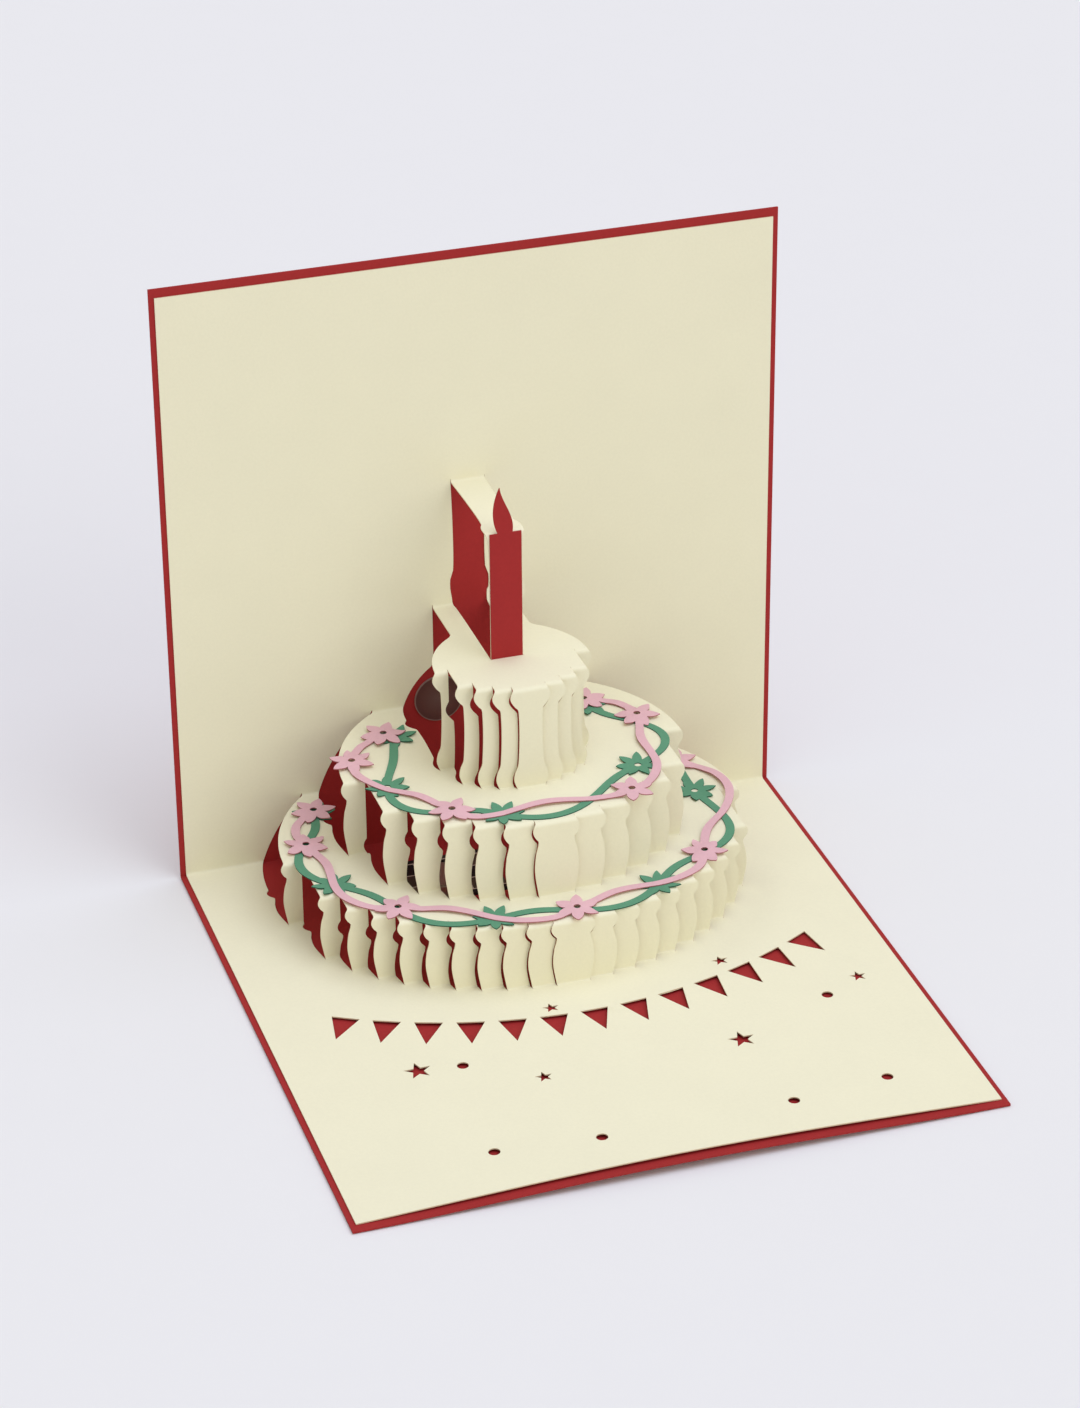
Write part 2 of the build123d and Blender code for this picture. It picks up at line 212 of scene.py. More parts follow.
# Pink cut edges, painted far darker than the paper: painted shade that darkens the flowers' holes and the
# lower edges
PINK_EDGE_PAINTED_SHADE = (0.42, 0.16, 0.17)
GREEN = (0.115, 0.315, 0.195)
# Green cut edges, painted far darker than the paper: painted shade in the holes and along the lower edges
# of the leaves
GREEN_EDGE_PAINTED_SHADE = (0.02, 0.09, 0.055)

# Sound unit: the disc in metres, with its colours at shares of the radius, and the board's pattern. The
# disc is painted with a reflection of the red card, dark red-brown and darker towards the rim, and a pale
# painted highlight on its rim
DISC_CENTRE = (-0.0097, 0.0756, 0.038)
DISC_RADIUS = 0.006
DISC_REFLECTION_AND_RIM_HIGHLIGHT = (
    (0.0, (0.15, 0.085, 0.075)),
    (0.7, (0.12, 0.05, 0.045)),
    (0.94, (0.1, 0.04, 0.036)),
    (0.985, (0.26, 0.18, 0.16)),
)
BOARD_RESIST = (0.012, 0.012, 0.013)
BOARD_PART = (0.3, 0.2, 0.13)
BOARD_LINE = (0.55, 0.46, 0.4)
BOARD_SCALE = 48.0
BOARD_LINE_WIDTH = 0.009
BOARD_BIAS = -0.45
CELL_STEEL = (0.42, 0.37, 0.32)
CELL_METALLIC = 0.8

# Floor, light and camera: places in metres, sensor and lens in millimetres
FLOOR_REACH = 3.0
FLOOR_DROP = 0.0002
FLOOR_PAPER = (0.83, 0.832, 0.86)
DOME_SIDES = (1.0, 0.95, 0.84)
DOME_TOP = (1.0, 0.975, 0.93)
DOME_STRENGTH = 0.595
SENSOR_WIDTH = 36.0
LENS = 109.03
CAMERA_PLACE = (-0.258465, -0.786468, 0.529409)
CAMERA_RIGHT = (0.95158416, -0.30728466, -0.00798275)
CAMERA_UP = (0.15472965, 0.45639649, 0.87621971)
CAMERA_BACK = (-0.26560557, -0.83503196, 0.48184572)


def smooth(points, share):
    """Value of a smooth curve through the points of a wave."""
    share = min(max(share, points[0][0]), points[-1][0])
    last = len(points) - 1
    i = 0
    while i < last - 1 and share > points[i + 1][0]:
        i += 1

    def slope(n):
        a, b = points[max(n - 1, 0)], points[min(n + 1, last)]
        return (b[1] - a[1]) / (b[0] - a[0])

    (x0, y0), (x1, y1) = points[i], points[i + 1]
    run = x1 - x0
    t = (share - x0) / run
    return (
        y0 * (1 + 2 * t) * (1 - t) ** 2
        + slope(i) * run * t * (1 - t) ** 2
        + y1 * t * t * (3 - 2 * t)
        + slope(i + 1) * run * t * t * (t - 1)
    )


def clamp(value):
    """The value, held between 0 and 1."""
    return min(max(value, 0.0), 1.0)


def spread(a, b, count):
    """Evenly spaced numbers from a to b."""
    return [a + (b - a) * i / count for i in range(count + 1)]


class Tier:
    """One tier of the cake: its heights, its plan and its cuts."""

    def __init__(
        self, foot, head, centre, half_width, shoulder, front, back_half, neck, middle_half, slits, wave
    ):
        self.foot, self.head, self.centre = foot, head, centre
        self.half_width, self.shoulder, self.front = half_width, shoulder, front
        self.back_half, self.neck = back_half, neck
        self.middle_half, self.slits, self.wave = middle_half, slits, wave
        self.height = head - foot

    def reach(self, slit):
        """How far a slit lies from the middle of the tier: slit 0 is the outermost one."""
        turn = SLIT_SPREAD * (self.slits - 1 - slit) / (self.slits - 1)
        side_part = self.half_width - self.middle_half
        return self.middle_half + side_part * math.sin(turn) / math.sin(SLIT_SPREAD)

    def depth(self, slit):
        """Depth of the strip that starts at a slit: the tier's front is half an ellipse."""
        swell = math.sqrt(max(0.0, 1 - (self.reach(slit) / self.half_width) ** 2))
        return self.shoulder + (self.front - self.shoulder) * swell

    def cut(self, slit, share):
        """How far a cut lies from the middle of the tier, at a share of the way down."""
        return self.reach(slit) + smooth(self.wave, share)

    def edges(self, slit, height):
        """Inner and outer edge of the strip that starts at a slit, at a height."""
        outer = self.cut(slit, (self.head - height) / self.height)
        if slit == self.slits - 1:
            return -outer, outer
        lag = self.depth(slit + 1) - self.depth(slit)
        inner = self.cut(slit + 1, (self.head - height - lag) / self.height) + KERF
        return inner, outer

    def crown(self, v, gap):
        """Half width behind the outermost cuts, at a place v on the flat sheet."""
        if v >= self.head - self.neck:
            return self.back_half + gap
        widest = self.cut(0, 0.0) + gap
        first = self.head - self.depth(0)
        narrowing = widest - self.back_half - gap
        rise = self.head - self.neck - first
        radius = (narrowing**2 + rise**2) / (2 * narrowing)
        return widest - radius + math.sqrt(radius**2 - max(v - first, 0.0) ** 2)

    def opening(self, v):
        """Half width of the tier's opening behind its outermost cuts."""
        return self.crown(v, KERF)

    def plate_side(self, side):
        """Edge of the top plate from the back to the front, as x and depth."""
        line = []
        last = self.depth(0) - HEAD_RADIUS
        for depth in spread(BACK_RADIUS, last, math.ceil(last / EDGE_STEP))[:-1]:
            line.append((self.centre + side * self.crown(self.head - depth, 0.0), depth))
        for slit in range(self.slits - 1):
            depth = self.depth(slit) - HEAD_RADIUS
            inner, outer = self.edges(slit, self.head)
            line += [(self.centre + side * x, depth) for x in spread(outer, inner, STRIP_COLUMNS)]
            x = self.centre + side * self.cut(slit + 1, 0.0)
            length = self.depth(slit + 1) - HEAD_RADIUS - depth
            line += [(x, depth + d) for d in spread(0.0, length, math.ceil(length / EDGE_STEP))[:-1]]
        return line

    def plate_front(self):
        """Front edge of the top plate, left to right."""
        inner, outer = self.edges(self.slits - 1, self.head)
        depth = self.depth(self.slits - 1) - HEAD_RADIUS
        return [(self.centre + x, depth) for x in spread(inner, outer, WIDE_COLUMNS)]

    def opening_side(self, side):
        """Edge of the tier's opening in the plate below, from the back to the front."""
        line = []
        first = self.depth(0) - self.height
        for depth in spread(BACK_RADIUS, first, math.ceil(first / EDGE_STEP))[:-1]:
            line.append((self.centre + side * self.opening(self.foot - depth), depth))
        start = first
        for slit in range(self.slits):
            end = self.depth(slit) + FOOT_RADIUS
            for depth in spread(start, end, max(LEAST_CUT_STEPS, math.ceil((end - start) / CUT_STEP))):
                share = 1 - (self.depth(slit) - depth) / self.height
                line.append((self.centre + side * (self.cut(slit, share) + KERF), depth))
            if slit < self.slits - 1:
                inner, outer = self.edges(slit, self.foot)
                line += [(self.centre + side * x, end) for x in spread(outer, inner, STRIP_COLUMNS)[:-1]]
            start = end
        return line

    def opening_front(self):
        """Front edge of the opening in the plate below, left to right."""
        inner, outer = self.edges(self.slits - 1, self.foot)
        depth = self.depth(self.slits - 1) + FOOT_RADIUS
        return [(self.centre + x, depth) for x in spread(inner, outer, WIDE_COLUMNS)]


class Candle:
    """The candle strip, which stands on the top tier as a tier of one strip."""

    foot = CANDLE_HEAD - CANDLE_RISE
    head = CANDLE_HEAD
    centre = CANDLE_CENTRE

    def half(self, v, gap):
        """Half width of the strip and its bridge, at a place v on the flat sheet."""
        share = (CANDLE_HEAD - v) / (CANDLE_DEPTH + CANDLE_RISE)
        return CANDLE_HALF + smooth(CANDLE_WAVE, share) + gap

    def opening(self, v):
        """Half width of the opening that the strip and its bridge were cut from."""
        return self.half(v, KERF)

    def opening_side(self, side):
        """Edge of the opening in the top plate, from the back to the front."""
        end = CANDLE_DEPTH + FOOT_RADIUS
        return [
            (self.centre + side * self.opening(self.foot - depth), depth)
            for depth in spread(BACK_RADIUS, end, math.ceil(end / CUT_STEP))
        ]

    def opening_front(self):
        """Front edge of the opening in the top plate, left to right."""
        half = self.half(self.foot - CANDLE_DEPTH, 0.0)
        depth = CANDLE_DEPTH + FOOT_RADIUS
        return [(self.centre + x, depth) for x in spread(-half, half, WIDE_COLUMNS)]


lower = Tier(
    foot=0.0, head=16.6, centre=-0.5, half_width=56.2, shoulder=29.7, front=75.0,
    back_half=43.9, neck=0.0, middle_half=4.5, slits=11, wave=CAKE_WAVE,
)
middle = Tier(
    foot=16.6, head=36.1, centre=-0.5, half_width=41.3, shoulder=30.6, front=63.0,
    back_half=25.8, neck=0.0, middle_half=4.8, slits=7, wave=CAKE_WAVE,
)
top = Tier(
    foot=36.1, head=61.9, centre=-1.0, half_width=18.3, shoulder=31.8, front=46.0,
    back_half=9.7, neck=15.3, middle_half=3.8, slits=5, wave=TOP_WAVE,
)
candle_strip = Candle()
tiers = (lower, middle, top)


def inside(points, loops):
    """Which points lie inside an odd number of the loops."""
    odd = np.zeros(len(points), bool)
    px, py = points[:, 0], points[:, 1]
    for loop in loops:
        a = np.array(loop, float)
        b = np.roll(a, -1, axis=0)
        for (x0, y0), (x1, y1) in zip(a, b):
            if y0 == y1:
                continue
            across = (y0 > py) != (y1 > py)
            odd ^= across & (px < (x1 - x0) * (py - y0) / (y1 - y0) + x0)
    return odd


def grid_inside(loops):
    """Evenly spaced points inside the loops, clear of their edges."""
    edge = np.vstack([np.array(loop, float) for loop in loops])
    low, high = edge.min(axis=0), edge.max(axis=0)
    xs = np.arange(low[0] + GRID / 2, high[0], GRID)
    ys = np.arange(low[1] + GRID / 2, high[1], GRID)
    points = np.array([(x, y) for y in ys for x in xs])
    points = points[inside(points, loops)]
    gap = np.array([np.min(np.hypot(*(edge - p).T)) for p in points])
    return points[gap > GRID_MARGIN]


def triangles(loops, extra):
    """Points, triangles and middles of the triangles of a flat piece with the loops among its edges."""
    points, edges = [], []
    for loop in loops:
        first = len(points)
        points += [Vector((float(p[0]), float(p[1]))) for p in loop]
        edges += [(first + i, first + (i + 1) % len(loop)) for i in range(len(loop))]
    points += [Vector((float(p[0]), float(p[1]))) for p in extra]
    made = delaunay_2d_cdt(points, edges, [], 0, FILL_TOLERANCE)
    flat = np.array([tuple(p) for p in made[0]])
    faces = [tuple(f) for f in made[2]]
    middles = np.array([flat[list(f)].mean(axis=0) for f in faces])
    return flat, faces, middles


def add_faces(bm, flat, faces, keep, corners):
    """Makes the triangles that are kept, all turned the same way."""
    for face, kept in zip(faces, keep):
        if kept:
            a, b, c = (flat[i] for i in face)
            turn = (b[0] - a[0]) * (c[1] - a[1]) - (b[1] - a[1]) * (c[0] - a[0])
            order = face if turn > 0 else tuple(reversed(face))
            bm.faces.new([corners[i] for i in order])


def facet(bm, loops, place):
    """Fills flat loops with triangles and lays them where place puts each point."""
    flat, faces, middles = triangles(loops, grid_inside(loops))
    corners = [bm.verts.new(Vector(place(*p)) * MM) for p in flat]
    add_faces(bm, flat, faces, inside(middles, loops), corners)


def rows_patch(bm, rows):
    """Quads between rows of points: rows run to the right and follow each other downwards."""
    grid = [[bm.verts.new(Vector(p) * MM) for p in row] for row in rows]
    for upper, under in zip(grid, grid[1:]):
        for i in range(len(upper) - 1):
            bm.faces.new((upper[i], under[i], under[i + 1], upper[i + 1]))


def drop_loose(bm):
    """Deletes the points that no face uses."""
    loose = [v for v in bm.verts if not v.link_faces]
    bmesh.ops.delete(bm, geom=loose, context="VERTS")


def thicken(bm, thickness):
    """Gives an open sheet its thickness behind its faces: the cut edges take the second material."""
    bm.normal_update()
    faces, rim = list(bm.faces), [e for e in bm.edges if len(e.link_faces) == 1]
    back = {v: bm.verts.new(v.co - v.normal * thickness) for v in list(bm.verts)}
    for face in faces:
        bm.faces.new([back[v] for v in reversed(face.verts)])
    for edge in rim:
        loop = edge.link_loops[0]
        a, b = loop.vert, loop.link_loop_next.vert
        side = bm.faces.new((b, a, back[a], back[b]))
        side.material_index = 1


def at(x, depth, height):
    """Point of the frame, in millimetres, from x, depth before the fold and height on the sheet."""
    return (x, FOLD_Y - depth, FLOOR + height)


def arch(x, depth):
    """Rise of the cover at a place on its lying half."""
    share = max(0.0, (depth - ARCH_START) / (SHEET_DEPTH - ARCH_START))
    return COVER_ARCH * share**2 * (1 - (x / COVER_HALF) ** 2) ** 2


def stand(x, depth):
    """Rise of the sheet at a place on its lying half, before and beside the cake."""
    swell = math.sqrt(max(0.0, 1 - (x / STAND_HALF) ** 2))
    start = lower.shoulder + (lower.front - lower.shoulder) * swell + STAND_GAP
    share = clamp((depth - start) / STAND_RUN)
    off = SHEET_STAND * share**2 * (3 - 2 * share) * (1 - (x / COVER_HALF) ** 4)
    return arch(x, depth) + off


QUARTER_TURN = spread(0.0, math.pi / 2, FOLD_STEPS)


def head_fold(depth, head):
    """Depth and height along the rounded fold from a plate down to a strip."""
    return [
        (depth - HEAD_RADIUS * (1 - math.sin(a)), head - HEAD_RADIUS * (1 - math.cos(a)))
        for a in QUARTER_TURN
    ]


def foot_fold(depth, foot):
    """Depth and height along the rounded fold from a strip out to the plate below."""
    return [
        (depth + FOOT_RADIUS * (1 - math.cos(a)), foot + FOOT_RADIUS * (1 - math.sin(a)))
        for a in QUARTER_TURN
    ]


def back_fold(height):
    """Depth and height along the rounded fold from the upright half out to a plate."""
    return [
        (BACK_RADIUS * (1 - math.cos(a)), height + BACK_RADIUS * (1 - math.sin(a)))
        for a in QUARTER_TURN
    ]


def strip_path(depth, head, foot, bow):
    """Depth and height from a plate over a strip to the plate below."""
    path = head_fold(depth, head)
    for share in spread(0.0, 1.0, RUN_STEPS)[1:-1]:
        height = head - HEAD_RADIUS - share * (head - foot - HEAD_RADIUS - FOOT_RADIUS)
        path.append((depth + bow * math.sin(math.pi * share), height))
    return path + foot_fold(depth, foot)


def add_strips(bm, tier):
    """The upright strips of a tier."""
    for slit in range(tier.slits):
        last = slit == tier.slits - 1
        count = WIDE_COLUMNS if last else STRIP_COLUMNS
        for side in (1,) if last else (-1, 1):
            bow = STRIP_BOW * (1 + BOW_CHANGE * math.sin(BOW_SLIT_TURN * slit + BOW_SIDE_TURN * side))
            rows = []
            for depth, height in strip_path(tier.depth(slit), tier.head, tier.foot, bow):
                inner, outer = tier.edges(slit, height)
                xs = sorted(tier.centre + side * x for x in spread(inner, outer, count))
                rows.append([at(x, depth, height) for x in xs])
            rows_patch(bm, rows)


def add_back_folds(bm, height, outer_at, following):
    """The two short folds where a plate leaves the upright half, beside the next opening."""
    for side in (-1, 1):
        rows = []
        places = spread(height + BACK_RADIUS, height - BACK_RADIUS, FOLD_STEPS)
        for (depth, h), v in zip(back_fold(height), places):
            inner = following.centre + side * following.opening(v)
            outer = outer_at(v, side)
            rows.append([at(x, depth, h) for x in sorted(spread(inner, outer, STRIP_COLUMNS))])
        rows_patch(bm, rows)


def back_crease(height, shift, outer_at, following, side):
    """Points of a back fold's edge from outside to inside, as x only."""
    v = height + shift
    inner = following.centre + side * following.opening(v)
    return spread(outer_at(v, side), inner, STRIP_COLUMNS)


def sheet_side(v, side):
    """Outer edge of the sheet, which is straight."""
    return side * SHEET_HALF


def plate_outer(tier):
    """Outer edge of the fold behind a tier's top plate, as a function of place and side."""

    def outer_at(v, side):
        half = tier.back_half if v >= tier.head else tier.crown(v, 0.0)
        return tier.centre + side * half

    return outer_at


# Each step from the fold up: height of the plate, its outer edge, and what stands on it
steps_up = (
    (0.0, sheet_side, lower),
    (lower.head, plate_outer(lower), middle),
    (middle.head, plate_outer(middle), top),
    (top.head, plate_outer(top), candle_strip),
)


def upright_side(side):
    """Edge of the upright half from its lower corner to the candle, as x and height."""
    line = []
    for height, outer_at, following in steps_up:
        start = height + BACK_RADIUS
        line += [(x, start) for x in back_crease(height, BACK_RADIUS, outer_at, following, side)]
        count = math.ceil((following.head - height) / EDGE_STEP)
        for v in spread(start, following.head + BACK_RADIUS, count)[1:]:
            line.append((following.centre + side * following.opening(min(v, following.head)), v))
    return line


def circle_loop(x, y, radius, steps):
    """Loop of a circle."""
    turns = spread(0.0, 2 * math.pi, steps)[:-1]
    return [(x + radius * math.cos(a), y + radius * math.sin(a)) for a in turns]


def star_loop(x, y, radius):
    """Loop of a star with one point towards the fold."""
    loop = []
    for corner in range(2 * STAR_POINTS):
        turn = math.pi / 2 + corner * math.pi / STAR_POINTS
        length = radius if corner % 2 == 0 else radius * STAR_WAIST
        loop.append((x + length * math.cos(turn), y + length * math.sin(turn)))
    return loop


def pennant_loop(turn):
    """Loop of one pennant, at its turn along the curved row."""
    x = PENNANT_RADIUS * math.sin(turn)
    y = PENNANT_RADIUS * (1 - math.cos(turn)) - PENNANT_DEPTH + PENNANT_HEIGHT / 2
    corners = ((-PENNANT_WIDTH / 2, 0.0), (PENNANT_WIDTH / 2, 0.0), (0.0, -PENNANT_HEIGHT))
    c, s = math.cos(turn), math.sin(turn)
    return [(x + a * c - b * s, y + a * s + b * c) for a, b in corners]


def cutouts():
    """Loops of the stars, dots and pennants, with y running towards the fold."""
    loops = []
    for places, radius in ((SMALL_STARS, SMALL_STAR), (LARGE_STARS, LARGE_STAR)):
        loops += [star_loop(share * SHEET_HALF, -depth, radius) for share, depth in places]
    loops += [circle_loop(share * SHEET_HALF, -depth, DOT, DOT_STEPS) for share, depth in DOTS]
    loops += [pennant_loop(a) for a in spread(-PENNANT_HALF_TURN, PENNANT_HALF_TURN, PENNANTS - 1)]
    return loops


def straight(a, b):
    """Points along a straight edge, without the last one."""
    count = max(1, math.ceil(math.dist(a, b) / GRID))
    return [(a[0] + (b[0] - a[0]) * i / count, a[1] + (b[1] - a[1]) * i / count) for i in range(count)]


def half_outline(length):
    """Outer edges of one half of the sheet, from its right end at the fold round to its left end."""
    corners = (
        (SHEET_HALF, BACK_RADIUS), (SHEET_HALF, length), (-SHEET_HALF, length), (-SHEET_HALF, BACK_RADIUS)
    )
    return [p for a, b in zip(corners, corners[1:]) for p in straight(a, b)]


def without_repeats(loop):
    """The loop without points that repeat the one before."""
    kept = []
    for p in loop:
        if not kept or math.dist(p, kept[-1]) > SAME_POINT:
            kept.append(p)
    if math.dist(kept[0], kept[-1]) < SAME_POINT:
        kept.pop()
    return kept


def level_loop(height, outline, outer_at, following):
    """Loop of a level facet: its outline, then the opening of the tier that stands on it."""
    left = [(x, BACK_RADIUS) for x in back_crease(height, -BACK_RADIUS, outer_at, following, -1)]
    right = [(x, BACK_RADIUS) for x in back_crease(height, -BACK_RADIUS, outer_at, following, 1)]
    loop = outline + left
    loop += following.opening_side(-1) + following.opening_front()
    loop += list(reversed(following.opening_side(1))) + list(reversed(right))
    return without_repeats([(x, -depth) for x, depth in loop])


def add_candle(bm):
    """The bridge from the upright half and the candle strip, down to the top tier."""
    bridge = [(d, CANDLE_HEAD) for d in spread(BACK_RADIUS, CANDLE_DEPTH - HEAD_RADIUS, BRIDGE_STEPS)]
    path = back_fold(CANDLE_HEAD)[:-1] + bridge[:-1]
    path += strip_path(CANDLE_DEPTH, CANDLE_HEAD, candle_strip.foot, 0.0)
    rows = []
    for depth, height in path:
        half = candle_strip.half(height - depth, 0.0)
        if depth >= CANDLE_DEPTH:
            half += TAB_REACH * max(0.0, 1 - ((height - TAB_HEIGHT) / TAB_HALF) ** 4)
        rows.append([at(CANDLE_CENTRE + x, depth, height) for x in spread(-half, half, WIDE_COLUMNS)])
    rows_patch(bm, rows)


def add_upright_half(bm):
    """The upright half of the sheet, round all that is cut out of it."""
    height = CANDLE_HEAD + BACK_RADIUS
    half = candle_strip.half(height, 0.0)
    crossing = [(CANDLE_CENTRE + x, height) for x in spread(-half, half, WIDE_COLUMNS)]
    loop = half_outline(SHEET_HEIGHT) + upright_side(-1) + crossing + list(reversed(upright_side(1)))
    facet(bm, [without_repeats(loop)], lambda x, v: at(x, 0.0, v))


def build_sheet():
    """The cream sheet, cut and folded, as one closed mesh of even thickness."""
    bm = bmesh.new()
    for tier in tiers:
        add_strips(bm, tier)
    for step in steps_up:
        add_back_folds(bm, *step)
    add_candle(bm)
    add_upright_half(bm)

    loop = level_loop(0.0, half_outline(SHEET_DEPTH), sheet_side, lower)
    facet(bm, [loop] + cutouts(), lambda x, y: at(x, -y, stand(x, -y)))
    for tier, (height, outer_at, following) in zip(tiers, steps_up[1:]):
        outline = tier.plate_side(1) + list(reversed(tier.plate_front()))
        outline += list(reversed(tier.plate_side(-1)))
        loop = level_loop(height, outline, outer_at, following)
        facet(bm, [loop], lambda x, y, h=height: at(x, -y, h))

    bmesh.ops.remove_doubles(bm, verts=bm.verts, dist=MERGE_DISTANCE)
    drop_loose(bm)
    thicken(bm, SHEET_THICKNESS * MM)
    return bm


def build_cover():
    """The red cover with its rounded fold, as one closed mesh."""
    r = COVER_FOLD_RADIUS
    path = [(COVER_BACK, z) for z in spread(COVER_TOP, COVER_THICKNESS + r, COVER_UPRIGHT_ROWS)[:-1]]
    for a in QUARTER_TURN:
        path.append((COVER_BACK - r * (1 - math.cos(a)), COVER_THICKNESS + r * (1 - math.sin(a))))
    path += [(y, COVER_THICKNESS) for y in spread(COVER_BACK - r, -COVER_FRONT, COVER_LYING_ROWS)[1:]]
    xs = spread(-COVER_HALF, COVER_HALF, COVER_COLUMNS)
    bm = bmesh.new()
    rows_patch(bm, [[(x, y, z + arch(x, FOLD_Y - y)) for x in xs] for y, z in path])
    thicken(bm, COVER_THICKNESS * MM)
    return bm


def ring_point(tier, insets, angle, offset):
    """Point on a tier's rim, seen from the middle of its shoulders, 0 degrees at the front."""
    across = tier.half_width - insets[0] + offset
    forward = tier.front - tier.shoulder - insets[1] + offset
    return (across * math.sin(math.radians(angle)), -forward * math.cos(math.radians(angle)))


def ribbon_offset(tier, crossings, first_side, angle):
    """How far a ribbon swings off the rim: it changes sides at each crossing."""
    side = first_side
    for start, end in zip(crossings, crossings[1:]):
        if start <= angle <= end:
            way = tier.half_width * math.radians(end - start)
            return side * RIBBON_SWING * way * math.sin(math.pi * (angle - start) / (end - start))
        side = -side
    return 0.0


def leaf_half(width, share):
    """Half width of a leaf at a share of its length: it is pointed at both ends."""
    if not 0 < share < 1:
        return 0.0
    return width / 2 * math.sin(math.pi * share**LEAF_SKEW) ** LEAF_FULLNESS


def motif_loops(spot, turn, shape):
    """Loops of a flower or spray: one pointed leaf after another, and the heart."""
    count, radius, width = shape
    line = [
        (radius * (LEAF_START + (1 - LEAF_START) * share), leaf_half(width, share))
        for share in spread(0.0, 1.0, LEAF_STEPS)
    ]
    leaf = line + [(along, -half) for along, half in reversed(line[1:-1])]
    loops = []
    for number in range(count):
        a = math.radians(turn) + 2 * math.pi * number / count
        c, s = math.cos(a), math.sin(a)
        loops.append([(spot[0] + x * c - y * s, spot[1] + x * s + y * c) for x, y in leaf])
    loops.append(circle_loop(*spot, MOTIF_HEART, HEART_STEPS))
    return loops


def build_garland(tier, insets, crossings, first_side, shape, places, lift, slack, dome):
    """A ribbon that weaves along the rim of a tier: its petals or leaves lift clear of both ribbons."""
    first, last = crossings[0], crossings[-1]
    angles = spread(first, last, int((last - first) / RIBBON_STEP))
    swings = [ribbon_offset(tier, crossings, first_side, a) for a in angles]
    outer = [ring_point(tier, insets, a, s + RIBBON_HALF) for a, s in zip(angles, swings)]
    inner = [ring_point(tier, insets, a, s - RIBBON_HALF) for a, s in zip(angles, swings)]
    own_line = np.array([ring_point(tier, insets, a, s) for a, s in zip(angles, swings)])
    other_line = np.array([ring_point(tier, insets, a, -s) for a, s in zip(angles, swings)])
    lifts = slack * np.abs(np.array(swings))

    solid = [outer + list(reversed(inner))]
    holes = []
    spots = []
    for number, angle in enumerate(places):
        spot = ring_point(tier, insets, angle, ribbon_offset(tier, crossings, first_side, angle))
        spots.append(spot)
        solid += motif_loops(spot, number * MOTIF_TURN, shape)
        holes.append(circle_loop(*spot, HOLE_RADIUS, HOLE_STEPS))
    flat, faces, middles = triangles(solid + holes, [])
    keep = np.zeros(len(faces), bool)
    for loop in solid:
        keep |= inside(middles, [loop])
    for loop in holes:
        keep &= ~inside(middles, [loop])

    bm = bmesh.new()
    centres = np.array(spots)
    leaf_length = shape[1]
    base = tier.head + lift + RIBBON_THICKNESS
    corners = []
    for p in flat:
        away = np.min(np.hypot(*(centres - p).T)) / leaf_length
        off = np.hypot(*(own_line - p).T)
        aside = (min(off.min(), np.hypot(*(other_line - p).T).min()) - RIBBON_HALF) / PETAL_RUN
        rise = lifts[off.argmin()] * clamp(away - 1.0)
        rise += PETAL_LIFT * min(away, 1.0) ** PETAL_CURL * clamp(aside)
        rise += dome * max(0.0, 1 - away**2) ** 2
        place = at(tier.centre + p[0], tier.shoulder - p[1], base + rise)
        corners.append(bm.verts.new(Vector(place) * MM))
    add_faces(bm, flat, faces, keep, corners)
    drop_loose(bm)
    thicken(bm, RIBBON_THICKNESS * MM)
    return bm


def green_garland(tier, insets, crossings, places):
    """Green ribbon with sprays, flat on its tier."""
    return build_garland(tier, insets, crossings, -1, SPRAY, places, lift=0.0, slack=0.0, dome=0.0)


def pink_garland(tier, insets, crossings, places):
    """Pink ribbon with domed flowers, slack between its crossings with the green one below."""
    return build_garland(
        tier, insets, crossings, 1, FLOWER, places, lift=RIBBON_THICKNESS, slack=PINK_LIFT, dome=PINK_DOME
    )


def new_piece(name, bm, node, materials):
    """Makes an object that stands for a CAD node."""
    mesh = bpy.data.meshes.new(name)
    bm.to_mesh(mesh)
    bm.free()
    mesh.shade_smooth()
    mesh.set_sharp_from_angle(angle=SHARP_ANGLE)
    for material in materials:
        mesh.materials.append(material)
    piece = bpy.data.objects.new(name, mesh)
    bpy.context.scene.collection.objects.link(piece)
    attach(piece, "root")
    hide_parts(node)


def add_noise(material, place, scale, detail):
    """Noise node in the object's own coordinates."""
    noise = material.node_tree.nodes.new("ShaderNodeTexNoise")
    noise.inputs["Scale"].default_value = scale
    noise.inputs["Detail"].default_value = detail
    material.node_tree.links.new(place.outputs["Object"], noise.inputs["Vector"])
    return noise


def fibrous(name, grain, roughness):
    """Material with a surface roughened by fibres, and its nodes for the place and the fibres."""
    material = bpy.data.materials.new(name)
    material.use_nodes = True
    nodes, links = material.node_tree.nodes, material.node_tree.links
    shader = nodes["Principled BSDF"]
    shader.inputs["Roughness"].default_value = roughness
    shader.inputs["Specular IOR Level"].default_value = SPECULAR
    place = nodes.new("ShaderNodeTexCoord")
    fibre = add_noise(material, place, FIBRE_SCALE, FIBRE_DETAIL)
    bump = nodes.new("ShaderNodeBump")
    bump.inputs["Strength"].default_value = grain
    bump.inputs["Distance"].default_value = BUMP_DISTANCE
    links.new(fibre.outputs["Fac"], bump.inputs["Height"])
    links.new(bump.outputs["Normal"], shader.inputs["Normal"])
    return material, place, fibre


